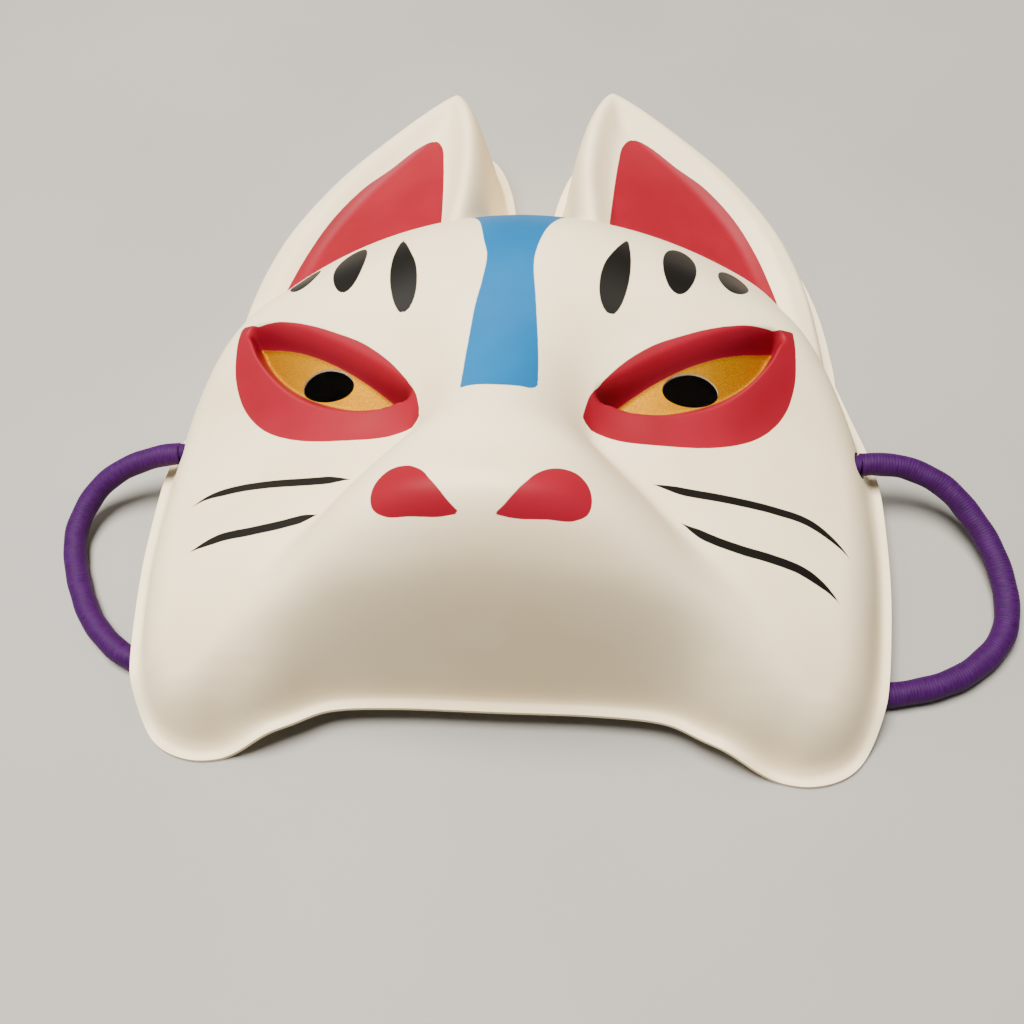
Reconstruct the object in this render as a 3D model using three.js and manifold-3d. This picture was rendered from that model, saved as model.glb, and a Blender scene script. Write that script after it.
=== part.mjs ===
import * as THREE from "three";
import Module from "manifold-3d";
import { mergeVertices } from "three/addons/utils/BufferGeometryUtils.js";

const wasm = await Module();
wasm.setup();

// Fox half mask for festivals, formed from one plastic sheet and lying on its rim, face up.
// Millimetres. +X is to the right of the face, +Y runs from the cheeks to the ear tips, +Z out of the face.

const maskLength = 180; // what the face's proportions are taken from
const sheet = 1.0; // thickness of the formed sheet
const lip = 2.5; // width of the flange that runs round the rim
const eyeHoleLength = 11.5; // opening the wearer looks through
const eyeHoleHeight = 6.2;
const cordDiameter = 5.0; // thread-covered elastic
const cordRoom = 0.9; // air over the cord where it passes below the rim
const holeFit = 0.4; // how much wider than the cord its hole is, on each side
const knotDiameter = 10.0; // knot that stops each end of the cord inside the mask
const holeAt = 66.0; // holes in the side walls, measured up the face from the foot of the cheeks
const holeHeight = 13.0; // and above the surface the mask lies on

const rimLift = cordDiameter + cordRoom; // how far the rim rises where the cord passes below it
const holeDiameter = cordDiameter + 2 * holeFit;

// The free form of the face, in hundredths of the mask's length.
const unit = maskLength / 100;
const faceFoot = [
  [0, 7], [11, 7], [18.5, 6.4], [23.3, 4.4], [28.8, 2.1], [33.8, 1.3], [38, 3.2], [40.4, 8.4],
  [41.9, 17], [42.7, 26], [42.7, 38], [41, 49.5], [38.2, 58.5], [34, 67], [25, 77], [13.3, 82.8], [0, 84.4],
];
const faceMiddle = [0, 36];
const earFoot = [
  [12, 64], [26, 55], [35.5, 49.5], [39.6, 52], [39.6, 60], [38.2, 69], [35.2, 77.2], [29.4, 85.6],
  [21.8, 92.6], [15.3, 97.4], [11.2, 98.9], [7.8, 97], [5.3, 91], [4, 83], [4.2, 74],
];
const earMiddle = [19, 78];
// Height along the middle line, height of the cheeks and brow beside it, and where the muzzle's foot lies.
const ridgeLine = [
  [6.4, 12], [7.6, 18], [8.8, 23], [10.4, 28], [12.5, 32.3], [14.6, 34.4], [17, 34.8], [19.8, 34.1],
  [23.3, 32.3], [27.8, 29.9], [32.2, 28.2], [38.9, 27], [44.4, 27], [50, 26.8], [53.9, 26.2], [57.8, 24.5],
  [62.2, 21.2], [69.4, 14.5], [74, 10.2], [78, 6.6], [82, 2.6], [86, 0.8],
];
const cheekLine = [
  [5, 17], [10, 20], [17, 21.8], [25, 21.2], [31, 20.1], [36, 20.9], [42, 24.4], [47, 26.4], [52, 26.6],
  [57.8, 24.5], [62.2, 21.2], [69.4, 14.5], [74, 10.2], [78, 6.6], [82, 2.6], [86, 0.8],
];
const muzzleReach = [
  [5, 26], [10, 24.5], [14, 22.3], [18.7, 18.9], [22.4, 15.9], [27.4, 11.6], [30, 9.8], [34, 9],
];
const bridgeWidth = 8.5; // half width of the bridge between the eyes
const eyeMiddle = [21, 40.6];
const eyeTurn = THREE.MathUtils.degToRad(29);
const eyeHalf = 10.5; // half the length of the painted eye between its corners
const eyeRise = 0.7; // how far its upper and lower edges bow from the line between them
const eyeDrop = 3.9;
const eyeHole = [20.6, 38.5];
const eyeHoleTurn = THREE.MathUtils.degToRad(8);

const curve1 = (points, t) => {
  const last = points.length - 1;
  if (t <= points[0][0]) return points[0][1];
  if (t >= points[last][0]) return points[last][1];
  let i = 0;
  while (points[i + 1][0] < t) i += 1;
  const slope = (a, b) => (points[b][1] - points[a][1]) / (points[b][0] - points[a][0]);
  const width = points[i + 1][0] - points[i][0];
  const u = (t - points[i][0]) / width;
  const before = slope(Math.max(i - 1, 0), i + 1) * width;
  const after = slope(i, Math.min(i + 2, last)) * width;
  const a = points[i][1];
  const b = points[i + 1][1];
  return a + u * (before + u * (3 * (b - a) - 2 * before - after + u * (before + after - 2 * (b - a))));
};
const soft1 = (points, t, r) => (curve1(points, t - r) + 2 * curve1(points, t) + curve1(points, t + r)) / 4;
const smooth = (low, high, t) => THREE.MathUtils.smoothstep(t, low, high);
const mix = THREE.MathUtils.lerp;
const softMin = (a, b, k) => Math.min(a, b) - (Math.max(k - Math.abs(a - b), 0) ** 2) / (4 * k);
const softMax = (a, b, k) => -softMin(-a, -b, k);

// Closed outline through its points, sampled evenly, with the outward direction at each sample.
function outline(points, mirrored) {
  const all = mirrored ? [...points, ...points.slice(1, -1).reverse().map(([x, y]) => [-x, y])] : points;
  const curve = new THREE.CatmullRomCurve3(all.map(([x, y]) => new THREE.Vector3(x, y, 0)), true, "catmullrom");
  curve.arcLengthDivisions = 800;
  const spaced = curve.getSpacedPoints(240).slice(0, -1);
  return {
    spaced,
    at: (s) => curve.getPointAt(((s % 1) + 1) % 1),
    out: (s) => {
      const t = curve.getTangentAt(((s % 1) + 1) % 1);
      return new THREE.Vector3(t.y, -t.x, 0).normalize();
    },
  };
}

function distanceIn(line, x, y) {
  let best = Infinity;
  for (let i = 0; i < line.length; i += 1) {
    const a = line[i];
    const b = line[(i + 1) % line.length];
    const dx = b.x - a.x;
    const dy = b.y - a.y;
    const t = THREE.MathUtils.clamp(((x - a.x) * dx + (y - a.y) * dy) / (dx * dx + dy * dy), 0, 1);
    best = Math.min(best, Math.hypot(x - a.x - t * dx, y - a.y - t * dy));
  }
  return best;
}

// Height of the underside of the flange, in millimetres: nought at the cheeks and the ears, raised for the cord.
function rim(x, y) {
  const arch = (1 - smooth(24, 31, Math.abs(x))) * (1 - smooth(12, 30, y));
  const side = smooth(2.5, 9, y) * (1 - smooth(33, 52, y));
  return rimLift * (1 - (1 - arch) * (1 - side));
}

// Distance to one of the eye's two arcs, or to its corner; w runs from the line between the corners.
function eyeArc(u, w, high) {
  const r = (eyeHalf * eyeHalf + high * high) / (2 * high);
  const pastCorner = w > 0 && Math.abs(u) * (r - high) > eyeHalf * (w + r - high);
  return pastCorner ? Math.hypot(Math.abs(u) - eyeHalf, w) : Math.hypot(u, w + r - high) - r;
}

// The face with its lids raised round the painted eye, and the eyeball's own surface inside it.
function withEye(top, ax, y) {
  const c = Math.cos(eyeTurn);
  const s = Math.sin(eyeTurn);
  const u = (ax - eyeMiddle[0]) * c + (y - eyeMiddle[1]) * s;
  const v = -(ax - eyeMiddle[0]) * s + (y - eyeMiddle[1]) * c;
  const shallow = 0.35 * smooth(7.5, 10.5, Math.abs(u));
  const d = Math.max(eyeArc(u, v, eyeRise), eyeArc(u, -v, eyeDrop)) + shallow;
  const upper = smooth(-1, 1, v);
  const edge = mix(1.1, 2.1, upper);
  const lid = mix(0.4, 0.25, upper) * (1 - smooth(edge, 5.2, d)) * (1 - smooth(7, 13, Math.abs(u)));
  const ball = 18 - 0.3 * (ax - 20.6) - 0.033 * (ax - 20.6) ** 2 + 0.5 * (y - 38.4);
  return mix(Math.min(ball, top), top + lid, smooth(-0.3, edge, d));
}

const face = outline(faceFoot, true);
const ear = outline(earFoot, false);

function faceHeight(x, y) {
  const ax = Math.abs(x);
  const cheek = soft1(cheekLine, y, 1.5);
  const ridge = soft1(ridgeLine, y, 1.7);
  const muzzle = softMax(1 - (ax / curve1(muzzleReach, y)) ** 2.2, 0, mix(0.5, 0.1, smooth(10, 22, y)));
  const across = mix(muzzle, Math.exp(-((ax / bridgeWidth) ** 2.8)), smooth(28, 36, y));
  const fall = mix(0.0072, 0.0118, smooth(44, 60, y));
  const top = withEye(cheek - fall * x * x + (ridge - cheek) * across, ax, y);
  const d = distanceIn(face.spaced, x, y);
  const side = 34 * (1 - (1 - Math.min(d / 30, 1)) ** 2.7);
  const front = 40 * (1 - (1 - Math.min(d / 8, 1)) ** 2.2);
  const isFront = (1 - smooth(6, 30, ax)) * (1 - smooth(10, 26, y));
  return Math.max(softMin(mix(side, front, isFront), top - rim(x, y) / unit, 6), 0);
}

function earHeight(x, y) {
  const d = distanceIn(ear.spaced, x, y);
  const plane = 12 - 0.37 * (x - 13.3);
  const ridge = 2.4 * (1 - smooth(3, 8, d));
  return Math.max(softMin(6 * d, plane + ridge, 6), 0);
}

// Grid that runs from a middle point to an outline in rings, each ring a square of the grid.
function ringGrid(rings) {
  const side = 2 * rings + 1;
  const nodes = [];
  for (let j = -rings; j <= rings; j += 1) {
    for (let i = -rings; i <= rings; i += 1) {
      const k = Math.max(Math.abs(i), Math.abs(j));
      let t = 0;
      if (j === -k && i >= 0) t = i;
      else if (i === k) t = 2 * k + j;
      else if (j === k) t = 4 * k - i;
      else if (i === -k) t = 6 * k - j;
      else t = 8 * k + i;
      nodes.push({ ring: k, s: k ? t / (8 * k) : 0 });
    }
  }
  const faces = [];
  for (let j = 0; j < 2 * rings; j += 1) {
    for (let i = 0; i < 2 * rings; i += 1) {
      const a = j * side + i;
      const same = (i < rings) === (j < rings);
      const [b, c, d] = [a + 1, a + side + 1, a + side];
      faces.push(...(same ? [[a, b, c], [a, c, d]] : [[a, b, d], [b, c, d]]));
    }
  }
  const edge = [];
  for (let i = 0; i < 2 * rings; i += 1) edge.push(i);
  for (let j = 0; j < 2 * rings; j += 1) edge.push(j * side + 2 * rings);
  for (let i = 2 * rings; i > 0; i -= 1) edge.push(2 * rings * side + i);
  for (let j = 2 * rings; j > 0; j -= 1) edge.push(j * side);
  return { nodes, faces, edge };
}

// Closed body between a top sheet and a bottom sheet that share one ring grid.
function closed(grid, top, bottom) {
  const count = top.length;
  const position = new Float32Array([...top, ...bottom].flatMap((p) => [p.x, p.y, p.z]));
  const index = grid.faces.flatMap(([a, b, c]) => [a, b, c, a + count, c + count, b + count]);
  grid.edge.forEach((a, i) => {
    const b = grid.edge[(i + 1) % grid.edge.length];
    index.push(a, a + count, b, b, a + count, b + count);
  });
  const geometry = new THREE.BufferGeometry();
  geometry.setAttribute("position", new THREE.BufferAttribute(position, 3));
  geometry.setIndex(index);
  return geometry;
}

// Outer and inner body of one formed hollow: the sheet is what lies between them.
function formed(line, middle, rings, height) {
  const place = (node, foot) => {
    const share = Math.min(node.ring / foot, 1) ** 0.65;
    const at = node.ring ? line.at(node.s) : new THREE.Vector3();
    return new THREE.Vector3(mix(middle[0], at.x, share), mix(middle[1], at.y, share), 0);
  };
  const outerGrid = ringGrid(rings);
  const outer = outerGrid.nodes.map((node) => {
    const p = place(node, rings - 1);
    const high = node.ring < rings - 1 ? height(p.x, p.y) : 0;
    const spread = node.ring === rings ? lip : 0;
    const q = p.multiplyScalar(unit).addScaledVector(node.ring ? line.out(node.s) : p, spread);
    q.z = rim(q.x / unit, q.y / unit) + sheet + high * unit;
    return q;
  });
  const below = outer.map((p) => new THREE.Vector3(p.x, p.y, rim(p.x / unit, p.y / unit)));
  const innerGrid = ringGrid(rings - 1);
  const inner = innerGrid.nodes.map((node) => {
    const p = place(node, rings - 1);
    const level = (x, y) => rim(x, y) / unit + height(x, y);
    if (node.ring === rings - 1) {
      const q = p.multiplyScalar(unit).addScaledVector(line.out(node.s), -sheet);
      q.z = rim(q.x / unit, q.y / unit) - sheet;
      return q;
    }
    const h = 0.15;
    const normal = new THREE.Vector3(
      (level(p.x - h, p.y) - level(p.x + h, p.y)) / (2 * h),
      (level(p.x, p.y - h) - level(p.x, p.y + h)) / (2 * h),
      1,
    ).normalize();
    const q = new THREE.Vector3(p.x * unit, p.y * unit, level(p.x, p.y) * unit + sheet);
    return q.addScaledVector(normal, -sheet);
  });
  const under = inner.map((p) => new THREE.Vector3(p.x, p.y, rim(p.x / unit, p.y / unit) - 3 * sheet));
  return { outer: closed(outerGrid, outer, below), inner: closed(innerGrid, inner, under) };
}

function solid(geometry) {
  const bare = geometry.clone();
  bare.deleteAttribute("normal");
  bare.deleteAttribute("uv");
  const merged = mergeVertices(bare, 1e-4);
  return new wasm.Manifold(new wasm.Mesh({
    numProp: 3,
    vertProperties: new Float32Array(merged.attributes.position.array),
    triVerts: new Uint32Array(merged.index.array),
  }));
}

function geometryOf(body) {
  const mesh = body.getMesh();
  const geometry = new THREE.BufferGeometry();
  geometry.setAttribute("position", new THREE.BufferAttribute(new Float32Array(mesh.vertProperties), 3));
  geometry.setIndex([...mesh.triVerts]);
  return geometry;
}

function mirrored(geometry) {
  const copy = geometry.clone().scale(-1, 1, 1);
  const index = [...copy.index.array];
  for (let i = 0; i < index.length; i += 3) [index[i], index[i + 1]] = [index[i + 1], index[i]];
  copy.setIndex(index);
  return copy;
}

function eyeCutter(side) {
  const shape = new THREE.Shape();
  shape.absellipse(0, 0, eyeHoleLength / 2, eyeHoleHeight / 2, 0, 2 * Math.PI, false);
  const bar = new THREE.ExtrudeGeometry(shape, { depth: maskLength, bevelEnabled: false, curveSegments: 12 });
  bar.rotateZ(eyeHoleTurn);
  bar.translate(eyeHole[0] * unit, eyeHole[1] * unit, 0);
  return side > 0 ? bar : mirrored(mergeVertices(bar));
}

function cordHoleCutter(side) {
  const bar = new THREE.CylinderGeometry(holeDiameter / 2, holeDiameter / 2, 20 * unit, 12);
  bar.rotateZ(Math.PI / 2);
  bar.translate(side * 43 * unit, holeAt, holeHeight);
  return bar;
}

const faceParts = formed(face, faceMiddle, 20, faceHeight);
const earParts = formed(ear, earMiddle, 8, earHeight);
let shell = solid(faceParts.outer).add(solid(earParts.outer)).add(solid(mirrored(earParts.outer)));
shell = shell.subtract(solid(faceParts.inner).add(solid(earParts.inner)).add(solid(mirrored(earParts.inner))));
for (const side of [-1, 1]) {
  shell = shell.subtract(solid(eyeCutter(side))).subtract(solid(cordHoleCutter(side)));
}

// The cord's way, in millimetres from the foot of the cheeks: out of the left hole, round and below the rim,
// across under the mask behind its arch, and back to the right hole.
const cordWay = [
  [-66, holeAt, holeHeight], [-73, holeAt, holeHeight], [-80.5, 64.9, 12.6], [-88.5, 62.7, 10.3], [-95, 58.3, 6.8],
  [-98, 51, 3.9], [-96.6, 43, 2.7], [-92.8, 35, 2.5], [-87.2, 27.2, 2.5], [-79, 21, 2.5], [-66, 18.4, 2.5],
  [-40, 18.8, 2.5], [-14, 20, 2.5], [14, 20, 2.5], [40, 18.8, 2.5], [62, 17.8, 2.5], [78, 18.6, 2.5],
  [88, 21.2, 2.5], [95.6, 25.8, 2.5], [101, 32, 2.5], [103, 40, 3.1], [101.8, 48.6, 4.7], [98.2, 56.6, 6.9],
  [92, 63, 10], [84, 66.2, 12.3], [78, 66.4, 13], [72, holeAt, holeHeight], [66, holeAt, holeHeight],
].map(([x, y, z]) => new THREE.Vector3(x, y, z));

function cordGeometry() {
  const round = new THREE.Shape();
  round.absarc(0, 0, cordDiameter / 2, 0, 2 * Math.PI, false);
  const extrudePath = new THREE.CatmullRomCurve3(cordWay, false, "centripetal");
  let cord = solid(new THREE.ExtrudeGeometry(round, { steps: 72, bevelEnabled: false, extrudePath, curveSegments: 4 }));
  for (const end of [cordWay[0], cordWay[cordWay.length - 1]]) {
    const knot = new THREE.SphereGeometry(knotDiameter / 2, 12, 8);
    cord = cord.add(solid(knot.translate(end.x, end.y, end.z)));
  }
  return geometryOf(cord);
}

const white = new THREE.MeshStandardMaterial({ color: 0xf6efe0, roughness: 0.45, metalness: 0 });
const purple = new THREE.MeshStandardMaterial({ color: 0x5a1690, roughness: 0.8, metalness: 0 });

const group = new THREE.Group();
function place(name, geometry, material) {
  const mesh = new THREE.Mesh(geometry, material);
  mesh.name = name;
  mesh.position.y = -maskLength / 2;
  group.add(mesh);
}
place("mask_shell", geometryOf(shell), white);
place("elastic_cord", cordGeometry(), purple);

export default group;
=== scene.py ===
"""Fox half mask, formed from one white plastic sheet and painted, with a thread-covered elastic cord."""
import math

import bmesh
import bpy
import numpy as np
from mathutils import Matrix, Vector

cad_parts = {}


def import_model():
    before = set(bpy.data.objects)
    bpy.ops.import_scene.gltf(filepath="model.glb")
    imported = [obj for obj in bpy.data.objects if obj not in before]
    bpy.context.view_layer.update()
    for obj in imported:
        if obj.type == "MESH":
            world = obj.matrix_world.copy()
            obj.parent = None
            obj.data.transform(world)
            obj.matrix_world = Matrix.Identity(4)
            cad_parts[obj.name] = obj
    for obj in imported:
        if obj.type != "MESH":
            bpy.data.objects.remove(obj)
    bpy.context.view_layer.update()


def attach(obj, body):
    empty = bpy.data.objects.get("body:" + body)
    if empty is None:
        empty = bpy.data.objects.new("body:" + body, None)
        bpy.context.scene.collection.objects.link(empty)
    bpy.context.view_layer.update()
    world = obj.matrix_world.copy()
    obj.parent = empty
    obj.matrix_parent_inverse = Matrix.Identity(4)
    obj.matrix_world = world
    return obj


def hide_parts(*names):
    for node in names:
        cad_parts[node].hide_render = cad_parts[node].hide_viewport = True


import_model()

MM = 0.001
LENGTH = 180.0  # length of the mask that its proportions are taken from, in millimetres
UNIT = LENGTH / 100  # the face's outlines are in hundredths of that length
SHEET = 1.0  # thickness of the plastic
LIP = 2.5  # width of the flange round the rim
RIM_LIFT = 5.9  # how far the rim is raised at the arch and at the sides
CORD = 5.0  # thickness of the cord
HOLE_FIT = 0.4  # gap all round between the cord and its hole
HOLE_AT = 66.0  # how far up the mask the cord's holes lie
HOLE_HEIGHT = 13.0  # how high their middles stand over the table
HOLE_EDGE = 74.3  # how far out the side wall stands at the cord's holes
EYE_HOLE = (20.6, 38.5)  # middle of the right eye hole, in the face's hundredths
EYE_HOLE_SIZE = (11.5, 6.2)
EYE_HOLE_TURN = 8  # degrees
EYE_CUT = 0.3  # lengths of the bars that cut the holes, in metres
CORD_CUT = 0.03


def world(points):
    """Millimetres from the foot of the cheeks, as metres in the frame."""
    p = np.array(points, float)
    return (p - [0, LENGTH / 2, 0]) * MM


def from_world(points):
    """Metres in the frame, as millimetres from the foot of the cheeks."""
    return np.array(points) / MM + [0, LENGTH / 2, 0]


# Camera

CAMERA_PLACE = (0.0199, -0.156, 0.2025)
CAMERA_RIGHT = (0.9962, 0.0640, -0.0596)
CAMERA_UP = (-0.0226, 0.8468, 0.5314)
CAMERA_BACK = (0.0845, -0.5280, 0.8450)
SENSOR = 36  # width in millimetres
LENS = 37.27  # focal length in millimetres


def make_camera():
    """The camera in the place that the mask is seen from."""
    data = bpy.data.cameras.new("photo_view")
    data.sensor_width = SENSOR
    data.lens = LENS
    data.clip_start = 0.01
    camera = bpy.data.objects.new("photo_view", data)
    turn = Matrix((CAMERA_RIGHT, CAMERA_UP, CAMERA_BACK)).transposed()
    camera.rotation_mode = "QUATERNION"
    camera.rotation_quaternion = turn.to_quaternion()
    camera.location = CAMERA_PLACE
    bpy.context.scene.collection.objects.link(camera)
    bpy.context.scene.camera = camera


make_camera()


# Curves and meshes

def centripetal(points, steps):
    """Smooth line through points that are unevenly spaced."""
    p = np.array(points, float)
    p = np.vstack([2 * p[0] - p[1], p, 2 * p[-1] - p[-2]])
    u = np.linspace(0, 1, steps, endpoint=False)[:, None]
    parts = []
    for a, b, c, d in zip(p, p[1:], p[2:], p[3:]):
        g = [np.linalg.norm(y - x) ** 0.5 for x, y in ((a, b), (b, c), (c, d))]
        start = ((b - a) / g[0] - (c - a) / (g[0] + g[1]) + (c - b) / g[1]) * g[1]
        end = ((c - b) / g[1] - (d - b) / (g[1] + g[2]) + (d - c) / g[2]) * g[1]
        bend = 3 * (c - b) - 2 * start - end
        swing = 2 * (b - c) + start + end
        parts.append(b + u * start + u**2 * bend + u**3 * swing)
    return np.vstack(parts + [p[-2:-1]])


def evenly(line, gap):
    """The same line with its points an equal gap apart, and its length."""
    way = np.concatenate([[0], np.cumsum(np.linalg.norm(np.diff(line, axis=0), axis=1))])
    count = max(int(round(way[-1] / gap)), 2)
    at = np.linspace(0, way[-1], count + 1)
    return np.column_stack([np.interp(at, way, line[:, k]) for k in range(3)]), way[-1]


def mesh_from(bm, name):
    mesh = bpy.data.meshes.new(name)
    bm.to_mesh(mesh)
    bm.free()
    return mesh


def places_of(mesh):
    """The places of a mesh's vertices, a row for each."""
    co = np.empty(len(mesh.vertices) * 3)
    mesh.vertices.foreach_get("co", co)
    return co.reshape(-1, 3)


def moved_mesh(bm, name, place):
    """A mesh from bm with each vertex put where place() says."""
    mesh = mesh_from(bm, name)
    mesh.vertices.foreach_set("co", place(places_of(mesh)).ravel())
    mesh.update()
    return mesh


def add_object(name, mesh):
    piece = bpy.data.objects.new(name, mesh)
    bpy.context.scene.collection.objects.link(piece)
    return piece


# Cord

# Its way from hole to hole, in millimetres from the foot of the cheeks
CORD_WAY = [
    (-66, HOLE_AT, HOLE_HEIGHT), (-73, HOLE_AT, HOLE_HEIGHT), (-80.5, 64.9, 12.6), (-88.5, 62.7, 10.3),
    (-95, 58.3, 6.8), (-98, 51, 3.9), (-96.6, 43, 2.7), (-92.8, 35, 2.5), (-87.2, 27.2, 2.5), (-79, 21, 2.5),
    (-66, 18.4, 2.5), (-40, 18.8, 2.5), (-14, 20, 2.5), (14, 20, 2.5), (40, 18.8, 2.5), (62, 17.8, 2.5),
    (78, 18.6, 2.5), (88, 21.2, 2.5), (95.6, 25.8, 2.5), (101, 32, 2.5), (103, 40, 3.1), (101.8, 48.6, 4.7),
    (98.2, 56.6, 6.9), (92, 63, 10), (84, 66.2, 12.3), (78, 66.4, 13), (72, HOLE_AT, HOLE_HEIGHT),
    (66, HOLE_AT, HOLE_HEIGHT),
]
THREAD = 0.62  # one turn of the covering thread
RINGS_PER_THREAD = 4
RIB = 0.085  # how far each turn of thread stands up
RIB_ROUND = 0.7  # below 1, so that the grooves between the turns are narrow
LUMPS = ((0.05, 0.9, 2), (0.04, 0.37, -1))  # height, and how fast they run along the cord and round it
CORD_SIDES = 18
KNOT_CORD = 2.1  # half the cord's thickness in the knots, where it is pulled tight
KNOT_SIDES = 14
KNOT_AT = -66.4  # place of the left knot; the right one mirrors it
KNOT_DEPTH = 1.9
KNOT_SIZE = 1.45
KNOT_OPEN = 0.35  # angle that the knot's loop leaves open at each end
KNOT_POINTS = 26


def wound_tube(name, line, radius, sides=CORD_SIDES):
    """A cord wound with thread, along an evenly spaced line in millimetres."""
    count = len(line)
    bm = bmesh.new()
    bm.loops.layers.uv.new("UVMap")
    bmesh.ops.create_grid(bm, x_segments=sides, y_segments=count - 1, size=1, calc_uvs=True)
    along = np.gradient(line, axis=0)
    along /= np.linalg.norm(along, axis=1)[:, None]
    across = np.empty_like(line)
    side = np.cross(along[0], (0, 0, 1.0))
    for i, t in enumerate(along):
        side = side - t * (side @ t)
        side /= np.linalg.norm(side)
        across[i] = side
    third = np.cross(along, across)
    gap = np.linalg.norm(line[1] - line[0])

    def place(co):
        ring = np.rint((co[:, 1] + 1) / 2 * (count - 1)).astype(int)
        turn = (co[:, 0] + 1) / 2
        angle = 2 * math.pi * turn
        way = ring * gap
        phase = 2 * math.pi * (way / THREAD + turn)
        rib = RIB * (0.5 + 0.5 * np.cos(phase)) ** RIB_ROUND
        lumps = sum(high * np.sin(way * rate + times * angle) for high, rate, times in LUMPS)
        r = radius - RIB + rib + lumps
        out = np.cos(angle)[:, None] * across[ring] + np.sin(angle)[:, None] * third[ring]
        return world(line[ring] + r[:, None] * out)

    mesh = moved_mesh(bm, name, place)
    bm = bmesh.new()
    bm.from_mesh(mesh)
    bmesh.ops.remove_doubles(bm, verts=bm.verts[:], dist=1e-7)
    bmesh.ops.holes_fill(bm, edges=[e for e in bm.edges if e.is_boundary], sides=0)
    bmesh.ops.recalc_face_normals(bm, faces=bm.faces[:])
    bm.to_mesh(mesh)
    bm.free()
    mesh.shade_smooth()
    return add_object(name, mesh)


def knot_line(side):
    """From the hole in the wall into a knot of one loop, and out into its short tail."""
    t = np.linspace(KNOT_OPEN, 2 * math.pi - KNOT_OPEN, KNOT_POINTS)
    loop = np.column_stack([
        -KNOT_DEPTH * np.sin(3 * t),
        KNOT_SIZE * (np.sin(t) + 2 * np.sin(2 * t)),
        KNOT_SIZE * (np.cos(t) - 2 * np.cos(2 * t)),
    ])
    lead = [(-HOLE_EDGE + 0.02, 0, 0), (-72.6, 0.2, 0.0), (-71, 0.8, -0.4)]
    tail = loop[-1] + (loop[-1] - loop[-3]) * 1.2 + [1.5, 0, 0]
    line = [(x, y + HOLE_AT, z + HOLE_HEIGHT) for x, y, z in lead]
    line += [(x + KNOT_AT, y + HOLE_AT, z + HOLE_HEIGHT) for x, y, z in [*loop, tail]]
    line = np.array(line)
    line[:, 0] *= -side
    return line


def make_cord():
    """The cord, its two knots, the way its middle takes in the frame, and that way's length."""
    whole = centripetal(CORD_WAY, steps=40)
    first, last = np.flatnonzero(np.abs(whole[:, 0]) > HOLE_EDGE)[[0, -1]]
    outside = whole[first:last + 1]
    line, length = evenly(outside, THREAD / RINGS_PER_THREAD)
    cord = wound_tube("elastic_cord_wound", line, CORD / 2)
    knots = []
    for side, name in ((-1, "knot_left"), (1, "knot_right")):
        way, _ = evenly(centripetal(knot_line(side), steps=20), THREAD / RINGS_PER_THREAD)
        knots.append(wound_tube(name, way, KNOT_CORD, KNOT_SIDES))
    route = world(line)
    return cord, knots, route, length * MM


cord, knots, route, cord_length = make_cord()


# Form of the face, in hundredths of its length

# Foot of the walls on the right half of the face, and the middle that its rings close in on
FACE_FOOT = [
    (0, 7), (11, 7), (18.5, 6.4), (23.3, 4.4), (28.8, 2.1), (33.8, 1.3), (38, 3.2), (40.4, 8.4), (41.9, 17),
    (42.7, 26), (42.7, 38), (41, 49.5), (38.2, 58.5), (34, 67), (25, 77), (13.3, 82.8), (0, 84.4),
]
FACE_MIDDLE = (0, 36)
# Foot of the right ear's walls, which runs on inside the head
EAR_FOOT = [
    (10, 58), (26, 54), (35.5, 49.5), (39.6, 52), (39.6, 60), (38.2, 69), (35.2, 77.2), (29.4, 85.6),
    (21.8, 92.6), (15.3, 97.4), (11.2, 98.9), (7.8, 97), (5.3, 91), (4, 83), (4.0, 74), (5.4, 65),
]
EAR_MIDDLE = (19, 78)
# How high the face's middle stands at each place up the face
RIDGE_LINE = [
    (6.4, 12), (7.6, 18), (8.8, 23), (10.4, 28), (12.5, 32.3), (14.6, 34.4), (17, 34.8), (19.8, 34.1),
    (23.3, 32.3), (27.8, 29.9), (32.2, 28.2), (38.9, 27), (44.4, 27), (50, 26.8), (53.9, 26.2), (57.8, 24.8),
    (62.2, 21.9), (66, 18.6), (69.4, 15.1), (74, 10.4), (78, 6.6), (82, 2.6), (86, 0.8),
]
# How high the cheeks and the forehead would stand in the middle without the muzzle and the bridge
CHEEK_LINE = [
    (5, 17), (10, 20), (17, 21.8), (25, 21.2), (31, 20.1), (36, 20.9), (42, 24.4), (47, 26.4), (52, 26.7),
    (57.8, 24.8), (62.2, 21.9), (66, 18.6), (69.4, 15.1), (74, 10.4), (78, 6.6), (82, 2.6), (86, 0.8),
]
CHEEK_SOFT = 1.5  # how far up and down the two lines are evened out
RIDGE_SOFT = 1.7
# How far out the muzzle's foot lies at each place up the face
MUZZLE_REACH = [(5, 26), (10, 24.5), (14, 22.3), (18.7, 18.9), (22.4, 15.9), (27.4, 11.6), (30, 9.8), (34, 9)]
MUZZLE_ROUND = 2.2  # the higher, the broader the muzzle's back
MUZZLE_SOFT = (0.5, 0.1)  # how softly its foot runs out at the front and beside the nose
MUZZLE_SOFT_AT = (10, 22)
BRIDGE_AT = (28, 36)  # where the muzzle passes into the bridge
BRIDGE_WIDTH = 8.5  # half width of the bridge between the eyes
BRIDGE_ROUND = 2.8
FALL = (0.0072, 0.0130)  # how fast the cheeks and the forehead fall to the side
FALL_AT = (44, 60)
SIDE_WALL = (34, 30, 2.7, 3.06)  # height, width, roundness, and slope outside the foot
FRONT_WALL = (40, 8, 2.2, 11.0)
FRONT_SIDE = (6, 30)  # between these places the front wall passes into the side walls
FRONT_TOP = (10, 26)
EDGE_ROUND = 6  # how far the edge between the walls and the face is rounded
FLARE = (2.4, 4.0)  # how softly the walls run out into the flange at the sides and the front
ARCH_SIDE = (24, 31)  # between these places the raised rim of the arch comes down
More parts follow.
